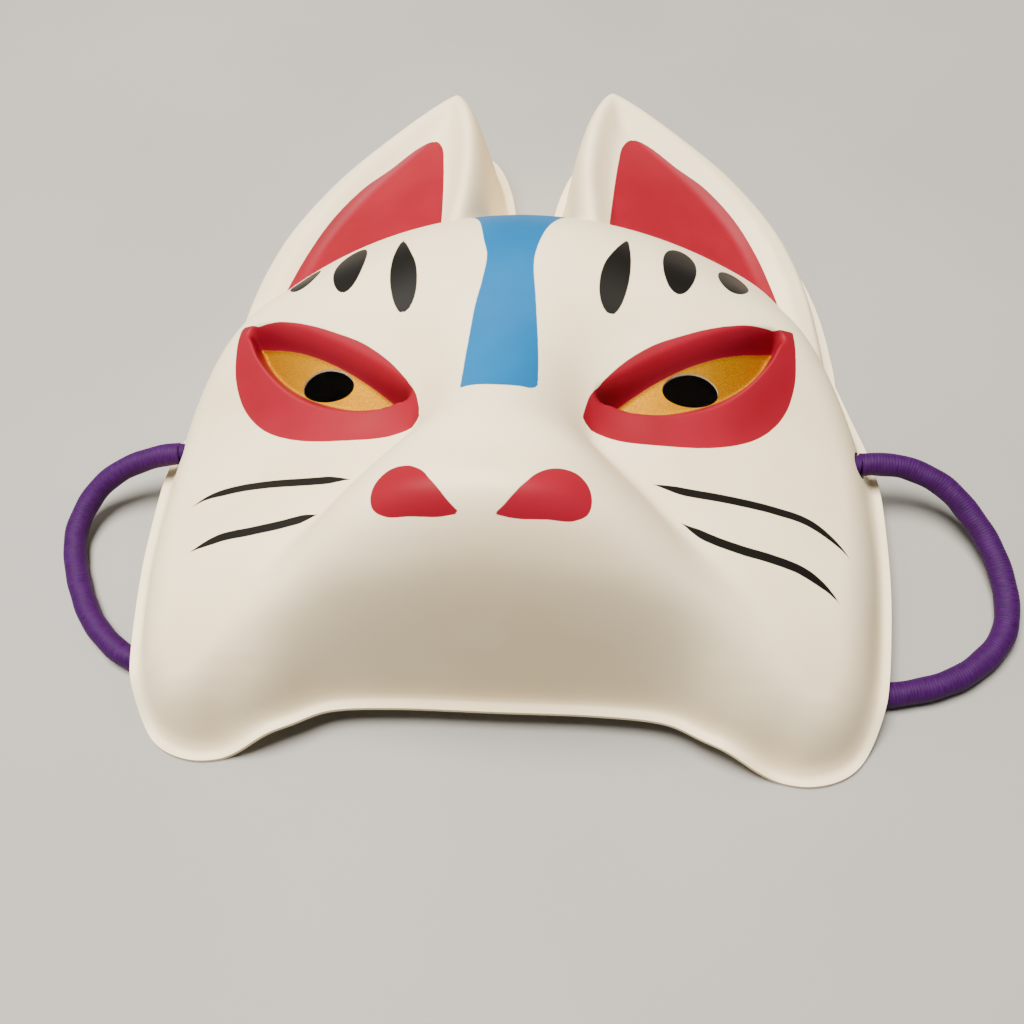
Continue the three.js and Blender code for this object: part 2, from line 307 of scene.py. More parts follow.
ARCH_TOP = (12, 30)
RAISED_FROM = (2.5, 9)  # and between these the raised rim of the sides starts and ends
RAISED_TO = (33, 52)
EAR_WALL = (21, 8, 2.5, 6.5)
EAR_HIGH = 12  # height of the ear's face beside its inner edge
EAR_EDGE = 13.3
EAR_FALL = 0.37  # how fast it falls to the side
EAR_BORDER = 2.6  # how far the border round it stands up
EAR_BORDER_WIDE = (3.6, 8)
EAR_ROUND = 5
EAR_FLARE = 1.8
EYE_MIDDLE = (20.8, 40.4)
EYE_TURN = math.radians(27.7)
EYE_HALF = 10.6  # half the length of the painted eye between its corners
EYE_RISE = 0.45  # how far its upper and lower edges bow from the line between them
EYE_DROP = 3.6
LOWER_LID = (-0.25, 1.1)  # how far out from the painted eye's edge the lid's slope starts and ends
UPPER_LID = (-0.1, 1.7)
CORNER = (8.5, 10.8)  # towards the corners the slope starts further in
CORNER_SHIFT = 0.15
LID_ROLL = (0.4, 0.3)  # height of the roll along the lower lid and the upper one
ROLL_END = 5.0  # how far from the painted eye the rolls run out
ROLL_SIDE = (7, 13)
BALL_AT = (20.6, 38.4)
BALL_HIGH = 18
BALL_FALL = 0.3  # how fast the eyeball falls to the side and rises upwards
BALL_RISE = 0.5
BALL_ROUND = 0.033
TINY = 1e-6  # keeps a softness from being nought


def curve1(points, t):
    """Smooth curve through pairs of place and value, read at the places t."""
    p = np.array(points, float)
    x, v = p[:, 0], p[:, 1]
    t = np.clip(t, x[0], x[-1])
    i = np.clip(np.searchsorted(x, t, side="right") - 1, 0, len(x) - 2)
    low, high = np.maximum(i - 1, 0), np.minimum(i + 2, len(x) - 1)
    width = x[i + 1] - x[i]
    before = (v[i + 1] - v[low]) / (x[i + 1] - x[low]) * width
    after = (v[high] - v[i]) / (x[high] - x[i]) * width
    u = (t - x[i]) / width
    a, b = v[i], v[i + 1]
    return a + u * (before + u * (3 * (b - a) - 2 * before - after + u * (before + after - 2 * (b - a))))


def soft1(points, t, r):
    """The same curve, evened out over r to both sides."""
    return (curve1(points, t - r) + 2 * curve1(points, t) + curve1(points, t + r)) / 4


def smooth(low, high, t):
    u = np.clip((t - low) / (high - low), 0, 1)
    return u * u * (3 - 2 * u)


def mix(a, b, t):
    return a + (b - a) * t


def soft_min(a, b, k):
    """The lesser of the two, rounded off where they come closer than k."""
    return np.minimum(a, b) - np.maximum(k - np.abs(a - b), 0) ** 2 / (4 * k)


def soft_max(a, b, k):
    return -soft_min(-a, -b, k)


class Outline:
    """A closed smooth line through its points, read by its share of the way round."""

    def __init__(self, points, mirrored):
        p = [tuple(q) for q in points]
        if mirrored:
            p += [(-x, y) for x, y in p[1:-1][::-1]]
        p = np.array(p, float)
        u = np.linspace(0, 1, 24, endpoint=False)[:, None]
        a, b, c, d = np.roll(p, 1, 0), p, np.roll(p, -1, 0), np.roll(p, -2, 0)
        parts = [
            0.5 * (2 * b[i] + (c[i] - a[i]) * u + (2 * a[i] - 5 * b[i] + 4 * c[i] - d[i]) * u**2
                   + (3 * b[i] - a[i] - 3 * c[i] + d[i]) * u**3)
            for i in range(len(p))
        ]
        self.dense = np.vstack(parts + [p[:1]])
        steps = np.linalg.norm(np.diff(self.dense, axis=0), axis=1)
        self.way = np.concatenate([[0], np.cumsum(steps)])
        self.way /= self.way[-1]
        self.sparse = self.at(np.arange(240) / 240)

    def at(self, s):
        s = np.mod(s, 1)
        return np.column_stack([np.interp(s, self.way, self.dense[:, k]) for k in (0, 1)])

    def out(self, s):
        t = self.at(s + 1e-3) - self.at(s - 1e-3)
        t /= np.linalg.norm(t, axis=1)[:, None]
        return np.column_stack([t[:, 1], -t[:, 0]])

    def distance(self, x, y):
        best = np.full(len(x), np.inf)
        for p, d in zip(self.sparse, np.roll(self.sparse, -1, 0) - self.sparse):
            t = np.clip(((x - p[0]) * d[0] + (y - p[1]) * d[1]) / (d @ d), 0, 1)
            best = np.minimum(best, (x - p[0] - t * d[0]) ** 2 + (y - p[1] - t * d[1]) ** 2)
        return np.sqrt(best)


FACE = Outline(FACE_FOOT, True)
EAR = Outline(EAR_FOOT, False)


def rim(x, y):
    """Height of the underside of the flange, in millimetres."""
    arch = (1 - smooth(*ARCH_SIDE, np.abs(x))) * (1 - smooth(*ARCH_TOP, y))
    side = smooth(*RAISED_FROM, y) * (1 - smooth(*RAISED_TO, y))
    return RIM_LIFT * (1 - (1 - arch) * (1 - side))


def eye_arc(u, w, high):
    """Distance to one of the eye's two arcs, or to its corner; w runs from the line between the corners."""
    r = (EYE_HALF**2 + high**2) / (2 * high)
    past_corner = (w > 0) & (np.abs(u) * (r - high) > EYE_HALF * (w + r - high))
    return np.where(past_corner, np.hypot(np.abs(u) - EYE_HALF, w), np.hypot(u, w + r - high) - r)


def eye_frame(ax, y):
    """A place as seen from the painted eye's middle, along and across the line between its corners."""
    c, s = math.cos(EYE_TURN), math.sin(EYE_TURN)
    dx, dy = ax - EYE_MIDDLE[0], y - EYE_MIDDLE[1]
    return dx * c + dy * s, dy * c - dx * s


def eye_almond(u, v):
    """Signed distance to the almond of the painted eye, less than nought inside it."""
    return np.maximum(eye_arc(u, v, EYE_RISE), eye_arc(u, -v, EYE_DROP))


def with_eye(top, ax, y, widen):
    """The face with its lids raised round the eye, and the eyeball's own surface inside it."""
    u, v = eye_frame(ax, y)
    d = eye_almond(u, v) - widen + CORNER_SHIFT * smooth(*CORNER, np.abs(u))
    upper = smooth(-1, 1, v)
    rise = mix(smooth(*LOWER_LID, d), smooth(*UPPER_LID, d), upper)
    roll_start = mix(LOWER_LID[1], UPPER_LID[1], upper)
    roll = mix(*LID_ROLL, upper) * (1 - smooth(roll_start, ROLL_END, d)) * (1 - smooth(*ROLL_SIDE, np.abs(u)))
    side, up = ax - BALL_AT[0], y - BALL_AT[1]
    ball = BALL_HIGH - BALL_FALL * side - BALL_ROUND * side**2 + BALL_RISE * up
    return mix(np.minimum(ball, top), top + roll, rise)


def wall(d, high, wide, power, below):
    """Height of a wall d inside its foot, where it rounds off, or outside it, where it falls on."""
    return np.where(d > 0, high * (1 - (1 - np.clip(d / wide, 0, 1)) ** power), below * d)


def face_height(x, y, out=0.0, flare=0.0, widen=0.0):
    """Height over the flange; out is how far a place lies outside the foot of the walls."""
    ax = np.abs(x)
    cheek, ridge = soft1(CHEEK_LINE, y, CHEEK_SOFT), soft1(RIDGE_LINE, y, RIDGE_SOFT)
    softness = mix(*MUZZLE_SOFT, smooth(*MUZZLE_SOFT_AT, y))
    muzzle = soft_max(1 - (ax / curve1(MUZZLE_REACH, y)) ** MUZZLE_ROUND, 0 * ax, softness)
    bridge = np.exp(-((ax / BRIDGE_WIDTH) ** BRIDGE_ROUND))
    across = mix(muzzle, bridge, smooth(*BRIDGE_AT, y))
    fall = mix(*FALL, smooth(*FALL_AT, y))
    top = with_eye(cheek - fall * x * x + (ridge - cheek) * across, ax, y, widen)
    d = np.where(out > 0, -out, FACE.distance(x, y))
    is_front = (1 - smooth(*FRONT_SIDE, ax)) * (1 - smooth(*FRONT_TOP, y))
    walls = mix(wall(d, *SIDE_WALL), wall(d, *FRONT_WALL), is_front)
    high = soft_min(walls, top - rim(x, y) / UNIT, EDGE_ROUND)
    return soft_max(high, 0 * high, flare * mix(*FLARE, is_front) + TINY)


def ear_height(x, y, out=0.0, flare=0.0):
    """Height of the right ear over the flange; out is as in face_height()."""
    d = np.where(out > 0, -out, EAR.distance(x, y))
    plane = EAR_HIGH - EAR_FALL * (x - EAR_EDGE)
    border = EAR_BORDER * (1 - smooth(*EAR_BORDER_WIDE, np.abs(d)))
    high = soft_min(wall(d, *EAR_WALL), plane + border, EAR_ROUND)
    return soft_max(high, 0 * high, flare * EAR_FLARE + TINY)


# The shell, as an outer body less an inner one

RING_SPREAD = 0.65  # below 1, so that the rings lie closer together towards the outline
FINE_ZONE = (-1.1, 2.6)  # how far from the painted eye's edge the faces are made finer
FINE_REACH = 3.5  # and up to where the places are put back on the surface
EYE_LEVEL = 10  # the eyes lie higher than this, in millimetres
EYE_SHEET = 0.45  # share of the thickness that is left where the eyes are pressed in
HOLLOW_GROWTH = 0.6  # how much wider the eyes are on the inside
JOINT_REACH = 0.0022  # how far from the joint of ear and head it is rounded, in metres
SHARP_EDGE = math.radians(48)


def ring_of(i, j):
    """Ring of a grid's vertex round its middle, and the share of the way round that ring."""
    k = np.maximum(np.abs(i), np.abs(j))
    choices = [(j == -k) & (i >= 0), i == k, j == k, i == -k]
    t = np.select(choices, [i, 2 * k + j, 4 * k - i, 6 * k - j], 8 * k + i)
    return k, np.where(k > 0, t / (8 * np.maximum(k, 1)), 0)


def closed_grid(count):
    """A closed slab of two square grids, from -count to count."""
    bm = bmesh.new()
    bmesh.ops.create_grid(bm, x_segments=2 * count, y_segments=2 * count, size=count)
    made = bmesh.ops.extrude_face_region(bm, geom=bm.faces[:])
    upper = [g for g in made["geom"] if isinstance(g, bmesh.types.BMVert)]
    bmesh.ops.translate(bm, verts=upper, vec=(0, 0, 1))
    bmesh.ops.recalc_face_normals(bm, faces=bm.faces[:])
    return bm


def outer_body(name, line, middle, height, rings, flange_rings):
    """A solid with the flange and the outer surface; its underside follows the rim."""
    def place(co):
        k, s = ring_of(np.rint(co[:, 0]), np.rint(co[:, 1]))
        share = (np.minimum(k / rings, 1) ** RING_SPREAD)[:, None]
        out = np.maximum(k - rings, 0) / flange_rings * LIP / UNIT
        p = mix(np.array(middle, float), line.at(s), share) + line.out(s) * out[:, None]
        x, y = p[:, 0], p[:, 1]
        foot = rim(x, y)
        z = np.where(co[:, 2] > 0.5, foot + SHEET + height(x, y, out, 1.0) * UNIT, foot)
        return world(np.column_stack([x * UNIT, y * UNIT, z]))

    return add_object(name, moved_mesh(closed_grid(rings + flange_rings), name, place))


def refine_eyes(piece):
    """Finer faces round the eyes, where the lids are steep."""
    bm = bmesh.new()
    bm.from_mesh(piece.data)

    def look():
        p = from_world([v.co for v in bm.verts])
        x, y = p[:, 0] / UNIT, p[:, 1] / UNIT
        return x, y, eye_almond(*eye_frame(np.abs(x), y)), p[:, 2] > EYE_LEVEL

    x, y, d, is_high = look()
    near = (d > FINE_ZONE[0]) & (d < FINE_ZONE[1]) & is_high
    edges = [e for e in bm.edges if all(near[v.index] for v in e.verts)]
    bmesh.ops.subdivide_edges(bm, edges=edges, cuts=2, use_grid_fill=True)
    bm.verts.index_update()
    x, y, d, is_high = look()
    high = rim(x, y) + SHEET + face_height(x, y) * UNIT
    for v, top, at_eye in zip(bm.verts, high * MM, (d < FINE_REACH) & is_high):
        if at_eye:
            v.co.z = top
    bm.to_mesh(piece.data)
    bm.free()


def thickness(x, y):
    """The sheet's thickness; it is drawn thinner where the eyes are pressed in."""
    d = eye_almond(*eye_frame(np.abs(x), y))
    return SHEET * mix(EYE_SHEET, 1, smooth(-1, 1, d))


def inner_body(name, line, middle, height, rings):
    """A solid that fills the hollow: the outer surface moved in by the sheet's thickness."""
    step = 0.12  # hundredths between the places that a slope is read from

    def level(x, y):
        return rim(x, y) + SHEET + height(x, y) * UNIT

    def place(co):
        k, s = ring_of(np.rint(co[:, 0]), np.rint(co[:, 1]))
        share = (k / rings)[:, None] ** RING_SPREAD
        p = mix(np.array(middle, float), line.at(s), share)
        x, y = p[:, 0], p[:, 1]
        normal = np.column_stack([
            (level(x - step, y) - level(x + step, y)) / (2 * step * UNIT),
            (level(x, y - step) - level(x, y + step)) / (2 * step * UNIT),
            np.ones(len(x)),
        ])
        normal /= np.linalg.norm(normal, axis=1)[:, None]
        spot = np.column_stack([x * UNIT, y * UNIT, level(x, y)]) - normal * thickness(x, y)[:, None]
        last = k == rings
        edge = p * UNIT - line.out(s) * SHEET
        spot[last] = np.column_stack([edge, rim(x, y) - SHEET])[last]
        below = co[:, 2] < 0.5
        spot[below, 2] = rim(spot[below, 0] / UNIT, spot[below, 1] / UNIT) - 3 * SHEET
        return world(spot)

    return add_object(name, moved_mesh(closed_grid(rings), name, place))


def mirror_copy(piece, name):
    bm = bmesh.new()
    bm.from_mesh(piece.data)
    bmesh.ops.scale(bm, verts=bm.verts[:], vec=(-1, 1, 1))
    bmesh.ops.recalc_face_normals(bm, faces=bm.faces[:])
    return add_object(name, mesh_from(bm, name))


def round_cutter(name, place, size, sides):
    """A round bar that cuts a hole; size holds its two widths and its length, in metres."""
    bm = bmesh.new()
    bmesh.ops.create_cone(bm, cap_ends=True, segments=sides, radius1=0.5, radius2=0.5, depth=1)
    bmesh.ops.transform(bm, matrix=place @ Matrix.Diagonal((*size, 1)), verts=bm.verts[:])
    return add_object(name, mesh_from(bm, name))


def eye_cutter(side):
    x, y, _ = world([side * EYE_HOLE[0] * UNIT, EYE_HOLE[1] * UNIT, 0])
    turn = Matrix.Rotation(math.radians(EYE_HOLE_TURN) * side, 4, "Z")
    wide, high = EYE_HOLE_SIZE
    size = (wide * MM, high * MM, EYE_CUT)
    return round_cutter("eye_cutter", Matrix.Translation((x, y, 0)) @ turn, size, sides=72)


def cord_cutter(side):
    at = world([side * HOLE_EDGE, HOLE_AT, HOLE_HEIGHT])
    turn = Matrix.Rotation(math.pi / 2, 4, "Y")
    wide = (CORD + 2 * HOLE_FIT) * MM
    return round_cutter("cord_cutter", Matrix.Translation(at) @ turn, (wide, wide, CORD_CUT), sides=48)


# Material slots of the bodies while they are put together
PAINTED, BARE, EAR_PART = 0, 1, 2


def fill_slots(piece, index):
    """Gives a body the three slots, and all its faces the one at index."""
    for name in ("painted", "bare", "ear_part"):
        piece.data.materials.append(bpy.data.materials.get(name) or bpy.data.materials.new(name))
    piece.data.polygons.foreach_set("material_index", np.full(len(piece.data.polygons), index, np.int32))


def combine(piece, others, operation):
    """Joins the others to piece, or cuts them from it, and removes them."""
    for other in others:
        step = piece.modifiers.new("step", "BOOLEAN")
        step.solver = "MANIFOLD"
        step.operation = operation
        step.object = other
    ready = piece.evaluated_get(bpy.context.evaluated_depsgraph_get())
    mesh = bpy.data.meshes.new_from_object(ready)
    piece.modifiers.clear()
    piece.data = mesh
    for other in others:
        bpy.data.objects.remove(other)


def soften_joints(mesh, times):
    """Rounds the line where the ears meet the head, as a formed sheet is rounded there."""
    bm = bmesh.new()
    bm.from_mesh(mesh)
    ring = set()
    for e in bm.edges:
        kinds = {f.material_index for f in e.link_faces}
        if len(kinds) > 1:
            ring.update(e.verts)
    seam = np.array([v.co for v in ring])
    above_flange = (SHEET + 0.2) * MM
    near = []
    for v in bm.verts:
        if v.co.z > above_flange and np.min(np.sum((seam - np.array(v.co)) ** 2, axis=1)) < JOINT_REACH**2:
            near.append(v)
    for _ in range(times):
        bmesh.ops.smooth_vert(bm, verts=near, factor=0.5, use_axis_x=True, use_axis_y=True, use_axis_z=True)
    bm.to_mesh(mesh)
    bm.free()


def make_hollow():
    """What is cut from the mask's underside, with the pockets of both ears."""
    def widened(x, y):
        return face_height(x, y, widen=HOLLOW_GROWTH)

    hollow = inner_body("inside", FACE, FACE_MIDDLE, widened, rings=64)
    fill_slots(hollow, BARE)
    pocket = inner_body("pocket", EAR, EAR_MIDDLE, ear_height, rings=26)
    fill_slots(pocket, BARE)
    combine(hollow, [mirror_copy(pocket, "pocket_copy"), pocket], "UNION")
    return hollow


def make_shell():
    head = outer_body("mask_formed", FACE, FACE_MIDDLE, face_height, rings=104, flange_rings=6)
    refine_eyes(head)
    fill_slots(head, PAINTED)
    ear = outer_body("ear", EAR, EAR_MIDDLE, ear_height, rings=40, flange_rings=5)
    fill_slots(ear, EAR_PART)
    combine(head, [mirror_copy(ear, "ear_copy"), ear], "UNION")
    soften_joints(head.data, times=8)
    every_face = np.full(len(head.data.polygons), PAINTED, np.int32)
    head.data.polygons.foreach_set("material_index", every_face)
    holes = [eye_cutter(-1), eye_cutter(1), cord_cutter(-1), cord_cutter(1)]
    for cutter in holes:
        fill_slots(cutter, BARE)
    combine(head, [make_hollow(), *holes], "DIFFERENCE")
    head.data.shade_smooth()
    head.data.set_sharp_from_angle(angle=SHARP_EDGE)
    return head


shell = make_shell()


# Paint: a patch is a signed distance to its outline, in millimetres, less than nought inside it

EYE_RED = [
    [(32.5, 47.4), (30.8, 46.7), (27.4, 45.8), (23.3, 44.4), (19.5, 42.8), (15.7, 41), (12.1, 38.3),
     (9.6, 35), (8.7, 32)],
    [(8.7, 32), (9.4, 31.3), (10.8, 30.9), (13, 30.6), (16.8, 30.8), (22.3, 31.7), (26.8, 33.5), (29.5, 35.5),
     (31.5, 38), (32.5, 40.9), (32.6, 44.3), (32.5, 47.4)],
]
LEAF = [
    [(13.4, 57.2), (13.7, 51.4), (13.4, 47.6), (12.6, 44.9), (11.8, 43.9), (11.1, 44.0), (10.5, 44.9),
     (10.2, 46.8), (10.6, 50), (11.8, 53.2), (13.4, 57.2)],
]
# Two ovals, each by its middle, half width, half height and lean
OVAL = (19.4, 53.5, 2.0, 5.8, 0.07)
SPOT = (26.1, 55.2, 1.95, 4.3, 0.1)
EAR_RED = [
    [(10.6, 60), (11.1, 69), (12.2, 82.8), (12.9, 87.0), (14.2, 88.8), (16.1, 88.2), (20.4, 85), (24.3, 82),
     (28.3, 77.1), (31, 71.8), (33.1, 65), (34.5, 58)],
    [(34.5, 58), (10.6, 60)],
]
NOSTRIL = [
    [(1.5, 12.8), (2.6, 13.6), (4.2, 15.3), (5.4, 16.8), (6.9, 17.8), (8.6, 17.85), (9.8, 16.6),
     (10.15, 14.9), (9.8, 13.85), (8.5, 13.1), (6.2, 12.85), (3.6, 12.65), (1.5, 12.8)],
]
STRIPE = [
    [(-7.6, 76), (-7.6, 71), (-6.9, 66), (-4.5, 60), (-3.1, 53.6), (-2.5, 50.7), (-2.7, 46.6),
     (-3.2, 43), (-3.6, 36.7), (-3.7, 30.8)],
    [(-3.7, 30.8), (0.6, 30.3), (3.5, 30.8)],
    [(3.5, 30.8), (4.15, 31.5), (4.15, 34), (3.9, 38.3), (3.4, 43.8), (2.9, 49.9), (3.6, 54.9), (5.1, 61),
     (6.4, 66), (7.0, 71), (7.0, 76)],
    [(7.0, 76), (-7.6, 76)],
]
WHISKERS = {
    "whisker_upper": [
        [(-14.5, 24.6), (-16.6, 24.9), (-20.9, 25.3), (-25.9, 26), (-30.4, 26.4), (-34.1, 26.2),
         (-36.2, 25.1), (-37.3, 24)],
        [(14.9, 25.0), (16.6, 25.0), (19.6, 24.7), (24.4, 24.8), (29.4, 24.8), (33.2, 24.4), (36.2, 22.6),
         (38, 20.6), (39, 19.2)],
    ],
    "whisker_lower": [
        [(-17.6, 20.6), (-19.2, 20.3), (-22.4, 19.8), (-26.4, 19.6), (-29.9, 19.6), (-32.4, 19.1),
         (-34.1, 18.5), (-35.2, 17.8)],
        [(18.2, 20.9), (21.7, 19.3), (25.2, 18.6), (28.8, 18.3), (31.8, 17.8), (34.5, 16.4), (36.3, 14.7),
         (37, 14)],
    ],
}
WHISKER_HALF = 1.0  # half the thickness of a brush stroke, in millimetres
WHISKER_OFF = 0.25  # how far below nought the half thickness is at a stroke's ends
WHISKER_START = (0, 0.18)  # shares of a stroke in which it grows to full thickness and thins out
WHISKER_END = (0.7, 1)
WHISKER_REACH = 2.5  # how far to the side a stroke is still told from the bare sheet
STROKE_STEP = 0.12  # gap between the points of a drawn line, in hundredths
PATCH_STEP = 0.16
PATCH_REACH = 6.0  # the distance to a patch is measured up to this
FAR_OFF = 20.0
NO_STROKE = -1.0  # half thickness where no stroke is near
JOINT_SHARE = 0.5  # share of the height between ear and head that counts as distance from their joint
GOLD_GROWTH = 0.05  # how far the gold runs out over the red
STRIPE_GAP = 0.6  # how far the stripe stays off the ears


def within(x, y, line):
    """Whether each place lies inside a closed flat line."""
    odd = np.zeros(len(x), bool)
    for (ax, ay), (bx, by) in zip(line, np.roll(line, -1, 0)):
        if ay != by:
            odd ^= ((ay > y) != (by > y)) & (x < (bx - ax) * (y - ay) / (by - ay) + ax)
    return odd


def ellipse(x, y, wide, tall, lean):
    """A leaning ellipse as one closed arc; x, y is its middle."""
    t = np.linspace(0, 2 * math.pi, 25)
    return [list(zip(x + wide * np.cos(t) + lean * tall * np.sin(t), y + tall * np.sin(t)))]


def ear_top(ax, y):
    """Height of the ear, nought outside its foot."""
    return np.where(within(ax, y, EAR.sparse), ear_height(ax, y), 0.0)


def surface(x, y):
    """Height of the painted surface, in millimetres."""
    ax = np.abs(x)
    return np.maximum(face_height(x, y), ear_top(ax, y)) * UNIT + rim(x, y) + SHEET


def lifted(points, mirrored, step=STROKE_STEP):
    """A drawn line as points on the surface, in millimetres."""
    flat = np.array([(x, y, 0) for x, y in points], float)
    line, _ = evenly(centripetal(flat, steps=24) if len(points) > 2 else flat, step)
    if mirrored:
        line[:, 0] *= -1
    return np.column_stack([line[:, :2] * UNIT, surface(line[:, 0], line[:, 1])])


def nearest(spots, line, chunk=4000):
    """Distance in space from each spot to the line, and the line's point that is nearest."""
    ahead = np.gradient(line, axis=0)
    half = np.linalg.norm(ahead, axis=1) / 2
    ahead /= 2 * half[:, None]
    best = np.empty(len(spots))
    which = np.empty(len(spots), int)
    for i in range(0, len(spots), chunk):
        part = spots[i:i + chunk]
        k = ((part[:, None, :] - line[None]) ** 2).sum(2).argmin(1)
        gap = part - line[k]
        run = np.clip((gap * ahead[k]).sum(1), -half[k], half[k])
        best[i:i + chunk] = np.linalg.norm(gap - run[:, None] * ahead[k], axis=1)
        which[i:i + chunk] = k
    return best, which


def patch(spots, arcs, mirrored=False):
    """Signed distance to the outline that the arcs make."""
    line = np.vstack([lifted(arc, mirrored, PATCH_STEP) for arc in arcs])
    low, high = line.min(0) - PATCH_REACH, line.max(0) + PATCH_REACH
    close = np.all((spots[:, :2] > low[:2]) & (spots[:, :2] < high[:2]), axis=1)
    value = np.full(len(spots), PATCH_REACH)
    part = spots[close]
    d, _ = nearest(part, line)
    value[close] = np.where(within(part[:, 0], part[:, 1], line[:, :2]), -d, d)
    return value


def both(spots, arcs):
    """Signed distance to a patch and its mirror image."""
    return np.minimum(patch(spots, arcs), patch(spots, arcs, True))


def stroke(spots, ways):
    """Sideways distance from the nearest brush stroke, and half its thickness there, or less than nought."""
    offset = np.full(len(spots), FAR_OFF)
    half = np.full(len(spots), NO_STROKE)
    for way in ways:
        line = lifted(way, False)
        d, which = nearest(spots, line)
        ahead = np.gradient(line, axis=0)[which]
        gap = spots - line[which]
        sign = np.sign(ahead[:, 0] * gap[:, 1] - ahead[:, 1] * gap[:, 0])
        share = which / (len(line) - 1)
        swell = smooth(*WHISKER_START, share) * (1 - smooth(*WHISKER_END, share))
        closer = d < np.abs(offset)
        offset = np.where(closer, sign * d, offset)
        thick = (WHISKER_HALF + WHISKER_OFF) * swell - WHISKER_OFF
        half = np.where(closer & (d < WHISKER_REACH), thick, half)
    return offset, half


def paint(piece):
    """Writes the paint's distances to the mesh, a value for each vertex."""
    mesh = piece.data
    spots = from_world(places_of(mesh))
    x, y = spots[:, 0] / UNIT, spots[:, 1] / UNIT
    ax = np.abs(x)
    on_ear = (ear_top(ax, y) - face_height(x, y)) * UNIT * JOINT_SHARE
    u, v = eye_frame(ax, y)
    values = {
        "eye_red": both(spots, EYE_RED),
        "gold": eye_almond(u, v) * UNIT - GOLD_GROWTH,
        "ear_red": np.maximum(both(spots, EAR_RED), -on_ear),
        "nostril": both(spots, NOSTRIL),
        "stripe": np.maximum(patch(spots, STRIPE), on_ear + STRIPE_GAP),
        "leaf": both(spots, LEAF),
        "ovals": np.maximum(np.minimum(both(spots, ellipse(*OVAL)), both(spots, ellipse(*SPOT))), on_ear),
        "lid_side": v * UNIT,
    }
    for name, ways in WHISKERS.items():
        values[name], values[name + "_half"] = stroke(spots, ways)
    for name, value in values.items():
        mesh.attributes.new(name, "FLOAT", "POINT").data.foreach_set("value", value.astype(np.float32))


paint(shell)


# Materials

# Each pair is a colour and the one that it blends into in patches
WHITE = ((249, 232, 195), (246, 226, 187))
BLUE = ((0, 92, 146), (0, 98, 152))
RED = ((130, 10, 30), (138, 14, 36))
# painted shade: a darker red that stands for the shade in the groove above each eye's gold; it is not a paint
# of its own
RED_GROOVE_SHADE = (84, 4, 16)
GOLD = ((160, 106, 0), (206, 152, 0))
BLACK = ((12, 10, 8), (18, 16, 13))
BARE_WHITE = ((240, 236, 226), (229, 224, 212))
PURPLE = ((30, 0, 46), (66, 2, 88))
DULL_PURPLE = (44, 1, 60)
PURPLE_SHEEN = (210, 140, 230)
FLOOR_GREY = ((156, 154, 150), (150, 148, 144))
PAINT_EDGE = 0.09  # how softly a patch, the gold and a whisker end, in millimetres
GOLD_SOFT = 0.07
WHISKER_SOFT = 0.08
EDGE_WOBBLE = 0.1  # how unevenly the brush ran along an edge, in millimetres


def srgb(r, g, b):
    """A screen colour, 0 to 255, as Blender's linear one."""
    return tuple(((c / 255 + 0.055) / 1.055) ** 2.4 if c > 10 else c / 255 / 12.92 for c in (r, g, b)) + (1,)


class Nodes:
    """Short calls for laying out one material."""

    def __init__(self, name):
        self.material = bpy.data.materials.get(name) or bpy.data.materials.new(name)
        self.material.use_nodes = True
        self.tree = self.material.node_tree
        self.shader = self.tree.nodes["Principled BSDF"]
        self.place = self.add("ShaderNodeTexCoord").outputs["Object"]

    def add(self, kind, **values):
        node = self.tree.nodes.new(kind)
        for name, value in values.items():
            setattr(node, name, value)
        return node

    def put(self, socket, value):
        if isinstance(value, bpy.types.NodeSocket):
            self.tree.links.new(value, socket)
        else:
            socket.default_value = value

    def math(self, operation, *values):
        node = self.add("ShaderNodeMath", operation=operation)
        for socket, value in zip(node.inputs, values):
            self.put(socket, value)
        return node.outputs[0]

    def ramp(self, value, a, b, low=0.0, high=1.0):
        """Runs smoothly from low to high while the value runs from a to b."""
        node = self.add("ShaderNodeMapRange", interpolation_type="SMOOTHSTEP")
        for socket, v in zip(node.inputs, (value, a, b, low, high)):
            self.put(socket, v)
        return node.outputs[0]

    def attribute(self, name):
        return self.add("ShaderNodeAttribute", attribute_name=name).outputs["Fac"]

    def noise(self, scale, detail=3.0, rough=0.5, vector=None):
        node = self.add("ShaderNodeTexNoise")
        self.put(node.inputs["Vector"], vector or self.place)
        self.put(node.inputs["Scale"], scale)
        self.put(node.inputs["Detail"], detail)
        self.put(node.inputs["Roughness"], rough)
        return node.outputs["Fac"]

    def blend(self, share, a, b):
        node = self.add("ShaderNodeMix", data_type="RGBA")
        self.put(node.inputs["Factor"], share)
        self.put(node.inputs["A"], a)
        self.put(node.inputs["B"], b)
        return next(o for o in node.outputs if o.type == "RGBA")

    def bump(self, height, strength, distance, normal=None):
        node = self.add("ShaderNodeBump")
        self.put(node.inputs["Height"], height)
        self.put(node.inputs["Strength"], strength)
        self.put(node.inputs["Distance"], distance)
        if normal is not None:
            self.put(node.inputs["Normal"], normal)
        return node.outputs[0]

    def finish(self, **values):
        """Sets the shader's inputs, with spaces for the underscores."""
        for name, value in values.items():
            self.put(self.shader.inputs[name.replace("_", " ")], value)


